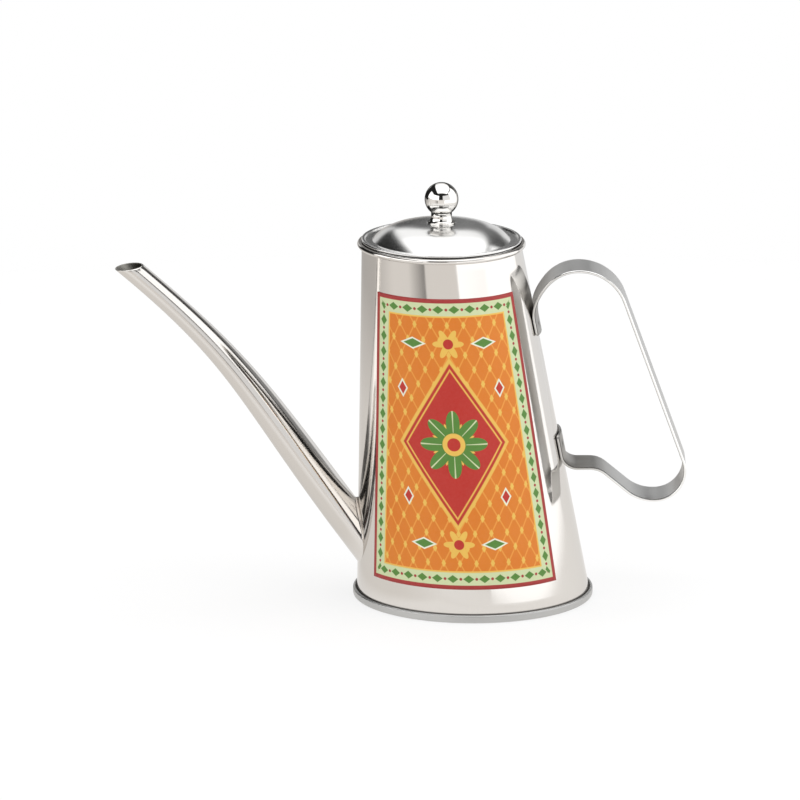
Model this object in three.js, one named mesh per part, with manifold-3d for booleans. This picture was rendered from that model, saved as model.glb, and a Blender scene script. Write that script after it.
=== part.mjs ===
// Half-litre steel oil cruet: a leaning conical body with a long oval spout, a bent strap handle,
// a base plate folded on at a seam, a printed label and a loose domed lid with a ball knob.
// Millimetres, +Z up. The origin is the centre of the underside of the base.
// The spout points to -X, the handle to +X, and the label faces -Y.
import * as THREE from "three";
import { mergeVertices } from "three/addons/utils/BufferGeometryUtils.js";
import Module from "manifold-3d";

const wasm = await Module();
wasm.setup();

// Body: a sheet cone whose round sections shift towards the spout as they rise
const bodySheet = 0.4;
const baseRadius = 44.2;
const rimRadius = 30.2;
const rimHeight = 136.7;
const rimLean = 12.1;
const curlRadius = 1.05;

// Base plate and the seam that folds it round the foot of the body
const baseSheet = 0.4;
const seamHeight = 3.0;
const seamGap = 0.1;
const grooveRadius = 31;
const grooveWidth = 5;
const grooveDepth = 0.9;

// Spout: an oval tube on a Bezier curve in the XZ plane
const spoutSheet = 0.6;
const spoutRootHeight = 24.3;
const spoutRootPitch = 53.8;
const spoutRootPull = 68.3;
const spoutMouthReach = 86.6;
const spoutMouthDrop = 9;
const spoutMouthPitch = 40.6;
const spoutMouthPull = 57;
const spoutMouthTilt = 7.5;
const spoutRootThick = 13.7;
const spoutRootWidth = 27;
const spoutMouthThick = 8.2;
const spoutMouthWidth = 12.6;

// Handle: a flat strap bent round corners, its outer face given by height and outset from the wall
const strapThick = 1.0;
const strapWidth = 19.4;
const upperTabDrop = 34;
const loopTopDrop = 8.3;
const loopTopOutset = 33.2;
const loopTopInnerBend = 16.4;
const loopTopOuterBend = 18.7;
const loopLowHeight = 38.1;
const loopLowOutset = 48.4;
const loopLowBend = 12;
const loopLowInnerOutset = 25;
const loopLowInnerBend = 16;
const lowerArmHeight = 50.6;
const lowerArmOutset = 12.3;
const lowerArmBend = 8.6;
const lowerTabBend = 6;
const lowerTabTop = 64;
const tabBowFade = 14;

// Label: a thin film on the front of the cone
const labelThick = 0.2;
const labelGap = 0.15;
const labelRimMargin = 14.1;
const labelBaseMargin = 9.6;
const labelHalfAngle = 53;
const labelLowerShift = 5;

// Lid: a pressed dome with a ledge and a folded hem that rests on the rolled rim
const lidSheet = 0.5;
const lidClearance = 0.5;
const hemOverlap = 0.55;
const hemFoldGap = 0.15;
const hemLap = 0.5;
const ledgeWidth = 3.2;
const ledgeStep = 0.6;
const domeRise = 6.3;
const domePower = 4.2;
const knobSeatRadius = 8;
const knobSeatDepth = 0.9;

// Plug ring under the lid
const skirtSheet = 0.5;
const skirtDepth = 7;
const skirtFlange = 2.6;

// Knob, with its screw and washer
const ballRadius = 6.4;
const ballHeight = 10.1;
const neckRadius = 3.95;
const neckHeight = 3.7;
const footRadius = 5.2;
const footThick = 0.4;
const screwRadius = 1.9;
const screwBite = 6;
const screwHeadRadius = 3.6;
const screwHeadThick = 2.2;
const screwSlotWidth = 1.0;
const screwSlotDepth = 1.1;
const screwClearance = 0.3;
const washerRadius = 4.6;
const washerThick = 0.8;

// Fits and facets
const weldGap = 0.3;
const seatGap = 0.1;
const roundSides = 48;
const knobSides = 32;
const screwSides = 24;
const ovalSides = 24;
const spoutSteps = 14;
const bendStep = 10;
const strapSpans = 4;
const labelColumns = 18;
const labelRows = 3;
const domeSteps = 7;

// Sizes that follow from the ones above
const mouthRadius = rimRadius - bodySheet;
const hookRadius = baseRadius + seamGap + baseSheet + seamGap;
const seamRadius = hookRadius + bodySheet + seamGap + baseSheet;
const hemRadius = mouthRadius + hemOverlap;
const skirtRadius = mouthRadius - lidClearance;
const hemLow = curlRadius + seatGap;
const hemHigh = hemLow + 2 * lidSheet + hemFoldGap;
const ledgeTop = hemHigh - ledgeStep;
const domeRadius = skirtRadius - ledgeWidth;
const knobSeat = ledgeTop + domeRise - knobSeatDepth;
const knobFoot = knobSeat + seatGap;
const washerTop = knobSeat - lidSheet - seatGap;
const screwHeadTop = washerTop - washerThick - seatGap;

const steel = new THREE.MeshStandardMaterial({ color: 0xd6d3ce, roughness: 0.15, metalness: 1 });
const satin = new THREE.MeshStandardMaterial({ color: 0xb9b8b5, roughness: 0.4, metalness: 1 });
const chrome = new THREE.MeshStandardMaterial({ color: 0xe6e4e0, roughness: 0.06, metalness: 1 });
const print = new THREE.MeshStandardMaterial({ color: 0xe08a2c, roughness: 0.35, metalness: 0 });

// How far up the slanted wall a height lies, 0 at the seam and 1 at the rim.
function wallShare(z) {
  return (z - seamHeight) / (rimHeight - seamHeight);
}

// Outer radius of the wall at a height.
function wallRadius(z) {
  return THREE.MathUtils.lerp(baseRadius, rimRadius, wallShare(z));
}

// X of the centre of the body's round section at a height.
function leanAt(z) {
  return -rimLean * THREE.MathUtils.clamp(wallShare(z), 0, 1);
}

// Outer face of the wall on the handle's side, with room for the weld.
function handleWall(z) {
  return -rimLean * wallShare(z) + wallRadius(z) + weldGap;
}

// Points of an arc in a profile, angles in degrees.
function arc(x, y, radius, from, to, steps) {
  return Array.from({ length: steps + 1 }, (_, i) => {
    const angle = THREE.MathUtils.degToRad(THREE.MathUtils.lerp(from, to, i / steps));
    return new THREE.Vector2(x + radius * Math.cos(angle), y + radius * Math.sin(angle));
  });
}

function points(...pairs) {
  return pairs.map(([x, y]) => new THREE.Vector2(x, y));
}

// Outline of a bent sheet: its centre line moved half a thickness to either side.
function bentSheet(centre, thick) {
  const last = centre.length - 1;
  const heading = (i) => centre[i + 1].clone().sub(centre[i]).normalize();
  const offsets = centre.map((_, i) => {
    const before = heading(Math.max(i - 1, 0));
    const after = heading(Math.min(i, last - 1));
    const middle = before.clone().add(after).normalize();
    const reach = thick / 2 / middle.dot(after);
    return new THREE.Vector2(-middle.y * reach, middle.x * reach);
  });
  const left = centre.map((point, i) => point.clone().add(offsets[i]));
  const right = centre.map((point, i) => point.clone().sub(offsets[i]));
  return left.concat(right.reverse());
}

// Revolve an outline (radius, height) about Z. One that leaves the axis is closed on itself.
function revolve(outline, sides) {
  const ring = THREE.ShapeUtils.area(outline) < 0 ? outline.slice().reverse() : outline.slice();
  const onAxis = ring.filter((point) => point.x < 1e-9).length;
  if (onAxis === 0) {
    ring.push(ring[0].clone());
  }
  while (onAxis > 0 && (ring[0].x > 1e-9 || ring[ring.length - 1].x > 1e-9)) {
    ring.push(ring.shift());
  }
  return new THREE.LatheGeometry(ring, sides).rotateX(Math.PI / 2);
}

// Shift each level of a revolved shape with the leaning wall.
function leaning(geometry) {
  const place = geometry.attributes.position;
  for (let i = 0; i < place.count; i += 1) {
    place.setX(i, place.getX(i) + leanAt(place.getZ(i)));
  }
  return geometry;
}

// A closed skin over rings of points, each ring counter-clockwise about the way they run.
// The ends are closed by strips between the two halves of the ring.
function loft(rings) {
  const count = rings[0].length;
  const endRing = (rings.length - 1) * count;
  const faces = [];
  for (let j = 0; j < count; j += 1) {
    const next = (j + 1) % count;
    for (let i = 0; i < rings.length - 1; i += 1) {
      const here = i * count;
      const ahead = here + count;
      faces.push(here + j, here + next, ahead + j);
      faces.push(here + next, ahead + next, ahead + j);
    }
  }
  for (let j = 0; j < count / 2 - 1; j += 1) {
    const far = count - 1 - j;
    faces.push(j, far, j + 1, j + 1, far, far - 1);
    faces.push(endRing + j, endRing + j + 1, endRing + far);
    faces.push(endRing + j + 1, endRing + far - 1, endRing + far);
  }
  return new THREE.BufferGeometry().setFromPoints(rings.flat()).setIndex(faces);
}

function solid(geometry) {
  const bare = geometry.clone();
  bare.deleteAttribute("normal");
  bare.deleteAttribute("uv");
  const merged = mergeVertices(bare, 1e-4);
  const vertProperties = merged.attributes.position.array;
  const triVerts = Uint32Array.from(merged.index.array);
  return new wasm.Manifold(new wasm.Mesh({ numProp: 3, vertProperties, triVerts }));
}

function faceted(cut) {
  const { vertProperties, triVerts } = cut.getMesh();
  const geometry = new THREE.BufferGeometry();
  geometry.setAttribute("position", new THREE.BufferAttribute(vertProperties, 3));
  geometry.setIndex(new THREE.BufferAttribute(triVerts, 1));
  return geometry;
}

function piece(name, geometry, material) {
  const mesh = new THREE.Mesh(geometry, material);
  mesh.name = name;
  geometry.computeVertexNormals();
  return mesh;
}

// The spout's centre line: a straight start inside the body, a Bezier curve, a straight end.
function spoutStations() {
  const heading = (pitch) => {
    const angle = THREE.MathUtils.degToRad(pitch);
    return new THREE.Vector2(-Math.cos(angle), Math.sin(angle));
  };
  const rise = heading(spoutRootPitch);
  const pour = heading(spoutMouthPitch);
  const wall = leanAt(spoutRootHeight) - wallRadius(spoutRootHeight);
  const root = new THREE.Vector2(wall, spoutRootHeight);
  const mouth = new THREE.Vector2(wall - spoutMouthReach, rimHeight - spoutMouthDrop);
  const curve = new THREE.CubicBezierCurve(
    root,
    root.clone().addScaledVector(rise, spoutRootPull),
    mouth.clone().addScaledVector(pour, -spoutMouthPull),
    mouth,
  );
  const along = Array.from({ length: spoutSteps + 1 }, (_, i) => {
    const share = i / spoutSteps;
    return { at: curve.getPoint(share), way: curve.getTangent(share), share };
  });
  const inside = { at: root.clone().addScaledVector(rise, -spoutRootThick), way: rise, share: 0 };
  const beyond = { at: mouth.clone().addScaledVector(pour, spoutMouthWidth), way: pour, share: 1 };
  return { mouth, stations: [inside, ...along, beyond] };
}

// The oval tube at a depth inside its outer skin.
function spoutTube(depth) {
  const rings = spoutStations().stations.map(({ at, way, share }) => {
    const ease = THREE.MathUtils.smoothstep(share, 0, 1);
    const thick = THREE.MathUtils.lerp(spoutRootThick, spoutMouthThick, ease) / 2 - depth;
    const width = THREE.MathUtils.lerp(spoutRootWidth, spoutMouthWidth, ease) / 2 - depth;
    return Array.from({ length: ovalSides }, (_, i) => {
      const angle = (2 * Math.PI * i) / ovalSides;
      const across = thick * Math.cos(angle);
      return new THREE.Vector3(at.x + way.y * across, width * Math.sin(angle), at.y - way.x * across);
    });
  });
  return solid(loft(rings));
}

// The space inside and just outside the body's wall, where no spout metal goes.
function bodyRoom() {
  const foot = baseRadius + weldGap;
  const top = rimRadius + weldGap;
  const outline = points([0, 0], [foot, 0], [foot, seamHeight], [top, rimHeight], [0, rimHeight]);
  return solid(leaning(revolve(outline, roundSides)));
}

// Everything above the slanted cut of the pouring mouth.
function aboveMouth() {
  const { mouth } = spoutStations();
  const side = 4 * spoutMouthWidth;
  const block = new THREE.BoxGeometry(side, side, side).translate(0, 0, side / 2);
  block.rotateY(THREE.MathUtils.degToRad(-spoutMouthTilt)).translate(mouth.x, 0, mouth.y);
  return solid(block);
}

function spout() {
  const tube = spoutTube(0).subtract(spoutTube(spoutSheet));
  return piece("spout", faceted(tube.subtract(bodyRoom()).subtract(aboveMouth())), steel);
}

// Sheet wall from the hook in the base seam up to the rolled rim, with the hole behind the spout.
function bodyShell() {
  const half = bodySheet / 2;
  const hookTop = seamHeight - baseSheet - seamGap;
  const hookLow = baseSheet + seamGap + half;
  const curlMiddle = curlRadius - half;
  const rim = arc(rimRadius - half + curlMiddle, rimHeight, curlMiddle, 180, -90, 8);
  const foot = points(
    [hookRadius + half, hookTop],
    [hookRadius + half, hookLow],
    [baseRadius - half, hookLow],
    [baseRadius - half, seamHeight],
  );
  const shell = solid(leaning(revolve(bentSheet([...foot, ...rim], bodySheet), roundSides)));
  return piece("body_shell", faceted(shell.subtract(spoutTube(spoutSheet))), steel);
}

// Flat plate with a pressed ring, turned up and folded over the hook of the body.
function basePlate() {
  const half = baseSheet / 2;
  const returnRadius = baseRadius + seamGap + half;
  const returnLow = baseSheet + seamGap + bodySheet + seamGap;
  const groove = points(
    [grooveRadius - grooveWidth / 2, half],
    [grooveRadius - grooveWidth / 4, half + grooveDepth],
    [grooveRadius + grooveWidth / 4, half + grooveDepth],
    [grooveRadius + grooveWidth / 2, half],
  );
  const edge = points(
    [seamRadius - half, half],
    [seamRadius - half, seamHeight - half],
    [returnRadius, seamHeight - half],
    [returnRadius, returnLow],
  );
  const centre = [new THREE.Vector2(0, half), ...groove, ...edge];
  return piece("base_plate", revolve(bentSheet(centre, baseSheet), roundSides), satin);
}

// Stations round a line of corners, each corner with its bend radius.
function bentStations(corners) {
  const stations = [];
  corners.forEach(({ at, bend }, i) => {
    const before = i > 0 ? at.clone().sub(corners[i - 1].at).normalize() : null;
    const after = i < corners.length - 1 ? corners[i + 1].at.clone().sub(at).normalize() : null;
    if (!before || !after) {
      stations.push({ at, way: before || after });
      return;
    }
    const turn = Math.atan2(before.cross(after), before.dot(after));
    const start = at.clone().addScaledVector(before, -bend * Math.tan(Math.abs(turn) / 2));
    const toCentre = new THREE.Vector2(-before.y, before.x).multiplyScalar(bend * Math.sign(turn));
    const centre = start.clone().add(toCentre);
    const steps = Math.ceil(Math.abs(THREE.MathUtils.radToDeg(turn)) / bendStep);
    for (let k = 0; k <= steps; k += 1) {
      const angle = (turn * k) / steps;
      const origin = new THREE.Vector2();
      stations.push({
        at: centre.clone().sub(toCentre.clone().rotateAround(origin, angle)),
        way: before.clone().rotateAround(origin, angle),
      });
    }
  });
  return stations;
}

// The strap's outer face from the end of the upper tab round the loop to the end of the lower tab.
function handleStations() {
  const corner = (height, outset, bend) => ({
    at: new THREE.Vector2(handleWall(height) + outset, height),
    bend,
  });
  const loopTop = rimHeight - loopTopDrop;
  return bentStations([
    corner(rimHeight - upperTabDrop, 0, 0),
    corner(loopTop, 0, loopTopInnerBend),
    corner(loopTop, loopTopOutset, loopTopOuterBend),
    corner(loopLowHeight, loopLowOutset, loopLowBend),
    corner(loopLowHeight, loopLowInnerOutset, loopLowInnerBend),
    corner(lowerArmHeight, lowerArmOutset, lowerArmBend),
    corner(lowerArmHeight, 0, lowerTabBend),
    corner(lowerTabTop, 0, 0),
  ]);
}

// Flat strap whose two welded tabs bow to the round of the wall and flatten as they leave it.
function handleStrap() {
  const stations = handleStations();
  const run = [0];
  stations.slice(1).forEach(({ at }, i) => run.push(run[i] + at.distanceTo(stations[i].at)));
  const upperTab = run[1];
  const lowerTab = run[run.length - 2];
  const across = Array.from({ length: strapSpans + 1 }, (_, i) => strapWidth * (i / strapSpans - 0.5));
  const rings = stations.map(({ at, way }, i) => {
    const away = Math.min(Math.max(run[i] - upperTab, 0), Math.max(lowerTab - run[i], 0));
    const bow = 1 - THREE.MathUtils.smoothstep(away, 0, tabBowFade);
    const radius = wallRadius(at.y);
    const face = (depth) =>
      across.map((y) => {
        const sag = bow * (radius - Math.sqrt(radius * radius - y * y));
        return new THREE.Vector3(at.x + way.y * depth - sag, y, at.y - way.x * depth);
      });
    return face(strapThick).concat(face(0).reverse());
  });
  return piece("handle_strap", loft(rings), satin);
}

// Thin film over the front of the cone, its lower edge turned a little towards the spout.
function labelFilm() {
  const low = seamHeight + labelBaseMargin;
  const high = rimHeight - labelRimMargin;
  const row = (share, lift) => {
    const z = THREE.MathUtils.lerp(low, high, share);
    const shift = labelLowerShift * (1 - share);
    return Array.from({ length: labelColumns + 1 }, (_, j) => {
      const degrees = labelHalfAngle * ((2 * j) / labelColumns - 1) - shift - 90;
      const angle = THREE.MathUtils.degToRad(degrees);
      const radius = wallRadius(z) + lift;
      return new THREE.Vector3(leanAt(z) + radius * Math.cos(angle), radius * Math.sin(angle), z);
    });
  };
  const rings = Array.from({ length: labelRows + 1 }, (_, i) => {
    const share = i / labelRows;
    return row(share, labelGap + labelThick).concat(row(share, labelGap).reverse());
  });
  return piece("label_film", loft(rings), print);
}

// Height of the dome's sheet above the ledge: flat on top, with a round shoulder.
function domeHeight(radius) {
  return domeRise * (1 - (radius / domeRadius) ** domePower);
}

function lidDome() {
  const half = lidSheet / 2;
  const hole = screwRadius + screwClearance;
  const ledge = ledgeTop - half;
  const dome = Array.from({ length: domeSteps + 1 }, (_, i) => {
    const radius = THREE.MathUtils.lerp(knobSeatRadius + knobSeatDepth, domeRadius, i / domeSteps);
    return new THREE.Vector2(radius, ledge + domeHeight(radius));
  });
  const seat = points([hole, knobSeat - half], [knobSeatRadius, knobSeat - half]);
  const rise = skirtRadius - half;
  const hem = points(
    [rise, ledge],
    [rise, hemHigh - half],
    [hemRadius - half, hemHigh - half],
    [hemRadius - half, hemLow + half],
    [hemRadius - half - hemLap, hemLow + half],
  );
  return piece("lid_dome", revolve(bentSheet([...seat, ...dome, ...hem], lidSheet), roundSides), satin);
}

// Ring of angle section under the ledge that keeps the lid in the mouth.
function lidSkirt() {
  const half = skirtSheet / 2;
  const flange = ledgeTop - lidSheet - seatGap - half;
  const centre = points(
    [skirtRadius - half - skirtFlange, flange],
    [skirtRadius - half, flange],
    [skirtRadius - half, flange - skirtDepth],
  );
  return piece("lid_skirt", revolve(bentSheet(centre, skirtSheet), roundSides), satin);
}

// Turned knob: a flared foot, a neck and a ball, with a blind hole from below.
function knob() {
  const hole = screwRadius + seatGap;
  const neck = new THREE.QuadraticBezierCurve(
    new THREE.Vector2(footRadius, footThick),
    new THREE.Vector2(neckRadius, neckHeight / 2),
    new THREE.Vector2(neckRadius, neckHeight),
  );
  const under = THREE.MathUtils.radToDeg(Math.acos(neckRadius / ballRadius));
  const ball = arc(0, ballHeight, ballRadius, -under, 90, 12);
  ball[ball.length - 1].x = 0;
  const depth = screwBite + seatGap;
  const outline = [
    ...points([0, depth], [hole, depth], [hole, 0], [footRadius, 0]),
    ...neck.getPoints(5),
    ...ball,
  ];
  return piece("lid_knob", revolve(outline, knobSides).translate(0, 0, knobFoot), chrome);
}

// Slotted pan-head screw from under the lid up into the knob.
function knobScrew() {
  const low = screwHeadTop - screwHeadThick;
  const crown = screwHeadThick / 3;
  const outline = points(
    [0, low],
    [screwHeadRadius - crown, low],
    [screwHeadRadius, low + crown],
    [screwHeadRadius, screwHeadTop],
    [screwRadius, screwHeadTop],
    [screwRadius, knobFoot + screwBite],
    [0, knobFoot + screwBite],
  );
  const slot = new THREE.BoxGeometry(4 * screwHeadRadius, screwSlotWidth, 2 * screwSlotDepth);
  slot.translate(0, 0, low);
  const cut = solid(revolve(outline, screwSides)).subtract(solid(slot));
  return piece("knob_screw", faceted(cut), satin);
}

function knobWasher() {
  const hole = screwRadius + screwClearance;
  const low = washerTop - washerThick;
  const outline = points([hole, low], [washerRadius, low], [washerRadius, washerTop], [hole, washerTop]);
  return piece("knob_washer", revolve(outline, screwSides), satin);
}

const lid = new THREE.Group();
lid.add(lidDome(), lidSkirt(), knob(), knobScrew(), knobWasher());
lid.position.set(-rimLean, 0, rimHeight);

const oilCruet = new THREE.Group();
oilCruet.add(bodyShell(), basePlate(), spout(), handleStrap(), labelFilm(), lid);

export default oilCruet;
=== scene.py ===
"""Smooth surfaces, finishes and a studio for a half-litre steel oil cruet.

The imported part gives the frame: metres, +Z up, spout to -X, handle to +X, label to -Y.
"""

import functools
import math

import bmesh
import bpy
import numpy as np
from bpy.props import FloatProperty, FloatVectorProperty, PointerProperty
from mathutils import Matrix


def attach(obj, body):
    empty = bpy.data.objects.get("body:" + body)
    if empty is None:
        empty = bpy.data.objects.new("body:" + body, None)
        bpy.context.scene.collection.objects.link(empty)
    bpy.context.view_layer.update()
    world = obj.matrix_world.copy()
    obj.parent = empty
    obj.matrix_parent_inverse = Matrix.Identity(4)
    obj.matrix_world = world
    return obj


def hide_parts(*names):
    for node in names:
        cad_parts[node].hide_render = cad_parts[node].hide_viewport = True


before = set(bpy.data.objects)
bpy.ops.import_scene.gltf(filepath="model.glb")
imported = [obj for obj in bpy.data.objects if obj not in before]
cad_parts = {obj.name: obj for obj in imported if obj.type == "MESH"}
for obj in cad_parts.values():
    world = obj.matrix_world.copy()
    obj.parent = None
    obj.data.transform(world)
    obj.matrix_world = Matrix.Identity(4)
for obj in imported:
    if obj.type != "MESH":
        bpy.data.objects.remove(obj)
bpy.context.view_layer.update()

bl_info = {
    "name": "Oil Cruet",
    "version": (1, 0, 0),
    "blender": (4, 5, 0),
    "location": "View3D > Sidebar > Cruet",
    "description": "Builds a steel oil cruet with a spout, a handle, a label and a loose lid",
    "category": "Add Mesh",
}

MILLIMETRE = 0.001
ROUND_SIDES = 256
OVAL_SIDES = 112
SHARP_EDGE = math.radians(40.0)
SAME_POINT = 1e-7
WHITE = (1.0, 1.0, 1.0)
SHOWN_RAYS = ("Is Camera Ray", "Is Glossy Ray", "Is Transmission Ray")


def length(name, description, millimetres):
    """A length setting, given in millimetres and kept in metres."""
    return FloatProperty(
        name=name,
        description=description,
        default=millimetres * MILLIMETRE,
        min=0.0,
        precision=5,
        unit="LENGTH",
    )


def angle(name, description, degrees):
    """An angle setting, given in degrees and kept in radians."""
    return FloatProperty(
        name=name,
        description=description,
        default=math.radians(degrees),
        subtype="ANGLE",
    )


def tint(name, description, red, green, blue):
    """A colour setting in linear light."""
    return FloatVectorProperty(
        name=name,
        description=description,
        default=(red, green, blue),
        min=0.0,
        max=1.0,
        subtype="COLOR",
    )


def share(name, description, value):
    """A setting from 0 to 1."""
    return FloatProperty(
        name=name, description=description, default=value, min=0.0, max=1.0, subtype="FACTOR"
    )


class BodySizes(bpy.types.PropertyGroup):
    sheet: length("Sheet", "Thickness of the wall", 0.4)
    base_radius: length("Base radius", "Outer radius of the wall at the seam", 44.2)
    rim_radius: length("Rim radius", "Outer radius of the wall under the rolled rim", 30.2)
    rim_height: length("Rim height", "Height of the middle of the rolled rim", 136.7)
    rim_lean: length("Rim lean", "How far the rim is shifted towards the spout", 12.1)
    curl_radius: length("Rim roll", "Outer radius of the rolled rim", 1.05)
    seam_height: length("Seam height", "Height of the folded base seam", 3.0)
    seam_gap: length("Seam gap", "Play between the folded layers", 0.1)
    bend: length("Seam bend", "Bend radius of the folded sheet", 0.32)
    groove_radius: length("Ring radius", "Radius of the ring pressed in the base", 31.0)
    groove_width: length("Ring width", "Width of the pressed ring", 5.0)
    groove_depth: length("Ring depth", "Depth of the pressed ring", 0.9)


class SpoutSizes(bpy.types.PropertyGroup):
    sheet: length("Sheet", "Thickness of the tube", 0.6)
    root_height: length("Root height", "Height where the spout leaves the wall", 24.3)
    root_pitch: angle("Root pitch", "Rise of the spout where it leaves the wall", 53.8)
    root_pull: length("Root pull", "How long the spout keeps its first direction", 68.3)
    mouth_reach: length("Mouth reach", "How far out the mouth lies", 86.6)
    mouth_drop: length("Mouth drop", "How far the mouth lies below the rim", 9.0)
    mouth_pitch: angle("Mouth pitch", "Rise of the spout at its mouth", 40.6)
    mouth_pull: length("Mouth pull", "How long the spout keeps its last direction", 57.0)
    mouth_tilt: angle("Mouth tilt", "Slant of the cut at the mouth", 7.5)
    root_thick: length("Root thickness", "Oval's short side at the root", 13.7)
    root_width: length("Root width", "Oval's long side at the root", 27.0)
    mouth_thick: length("Mouth thickness", "Oval's short side at the mouth", 8.2)
    mouth_width: length("Mouth width", "Oval's long side at the mouth", 12.6)
    fillet: length("Solder fillet", "Size of the solder fillet round the root", 1.1)


class HandleSizes(bpy.types.PropertyGroup):
    thick: length("Thickness", "Thickness of the strap", 1.0)
    width: length("Width", "Width of the strap", 19.4)
    edge: length("Edge", "Rounding of the strap's edges", 0.36)
    corner: length("Tab corner", "Rounding of the corners of the tabs", 1.6)
    weld_gap: length("Weld gap", "Room between the wall and the tabs", 0.3)
    upper_tab_drop: length("Upper tab drop", "End of the upper tab below the rim", 34.0)
    top_drop: length("Top drop", "Top of the loop below the rim", 8.3)
    top_outset: length("Top outset", "Outer top corner of the loop from the wall", 33.2)
    top_inner_bend: length("Top inner bend", "Bend radius next to the upper tab", 16.4)
    top_outer_bend: length("Top outer bend", "Bend radius at the outer top corner", 18.7)
    low_height: length("Low height", "Height of the bottom of the loop", 38.1)
    low_outset: length("Low outset", "Outer low corner of the loop from the wall", 48.4)
    low_bend: length("Low bend", "Bend radius of the outer low corner", 12.0)
    low_inner_outset: length("Low inner outset", "Inner low corner from the wall", 25.0)
    low_inner_bend: length("Low inner bend", "Bend radius of the inner low corner", 16.0)
    arm_height: length("Arm height", "Height of the lower arm", 50.6)
    arm_outset: length("Arm outset", "Corner of the lower arm from the wall", 12.3)
    arm_bend: length("Arm bend", "Bend radius of the lower arm", 8.6)
    tab_bend: length("Tab bend", "Bend radius next to the lower tab", 6.0)
    tab_top: length("Lower tab top", "Height of the end of the lower tab", 64.0)
    bow_fade: length("Bow fade", "Length over which the tabs' bow flattens out", 14.0)
    weld_size: length("Weld size", "Radius of a spot weld's dent", 1.25)
    weld_depth: length("Weld depth", "Depth of a spot weld's dent", 0.28)
    weld_inset: length("Weld inset", "Spot welds from the end of a tab", 4.2)
    weld_spread: length("Weld spread", "Spot welds from the middle of a tab", 5.4)


class LabelSizes(bpy.types.PropertyGroup):
    thick: length("Thickness", "Thickness of the film", 0.2)
    gap: length("Gap", "Room under the film", 0.03)
    rim_margin: length("Rim margin", "Top edge below the rim", 14.1)
    base_margin: length("Base margin", "Bottom edge above the seam", 9.6)
    half_angle: angle("Half angle", "Half of the turn that the label covers", 53.0)
    lower_shift: angle("Lower shift", "Turn of the lower edge towards the spout", 5.0)


class LidSizes(bpy.types.PropertyGroup):
    sheet: length("Sheet", "Thickness of the lid", 0.5)
    clearance: length("Clearance", "Room between the plug ring and the mouth", 0.5)
    hem_overlap: length("Hem overlap", "How far the hem lies over the rim", 0.55)
    hem_gap: length("Hem gap", "Room in the folded hem", 0.15)
    hem_lap: length("Hem lap", "How far the hem is folded back", 0.5)
    ledge_width: length("Ledge width", "Flat ring between the dome and the hem", 3.2)
    ledge_step: length("Ledge step", "Ledge below the top of the hem", 0.6)
    dome_rise: length("Dome rise", "Height of the dome above the ledge", 6.3)
    dome_power: FloatProperty(
        name="Dome fullness",
        description="Power of the radius by which the dome falls",
        default=4.2,
        min=1.0,
    )
    recess_radius: length("Knob recess", "Radius of the recess under the knob", 5.5)
    seat_depth: length("Seat depth", "Depth of the recess under the knob", 0.9)
    seat_gap: length("Seat gap", "Room between parts that lie on each other", 0.1)
    ring_sheet: length("Ring sheet", "Thickness of the plug ring", 0.5)
    ring_depth: length("Ring depth", "Depth of the plug ring", 7.0)
    ring_flange: length("Ring flange", "Width of the plug ring's flange", 2.6)
    screw_hole: length("Screw hole", "Radius of the hole for the knob's screw", 2.2)


class KnobSizes(bpy.types.PropertyGroup):
    ball_radius: length("Ball radius", "Radius of the ball", 6.4)
    ball_height: length("Ball height", "Middle of the ball above the foot", 10.1)
    neck_radius: length("Neck radius", "Radius of the neck", 3.95)
    neck_height: length("Neck height", "Height where the neck is thinnest", 3.7)
    foot_radius: length("Foot radius", "Radius of the foot", 5.2)
    foot_thick: length("Foot thickness", "Thickness of the foot's edge", 1.3)
    hole_radius: length("Hole radius", "Radius of the hole for the screw", 2.0)
    hole_depth: length("Hole depth", "Depth of the hole for the screw", 6.1)


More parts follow.
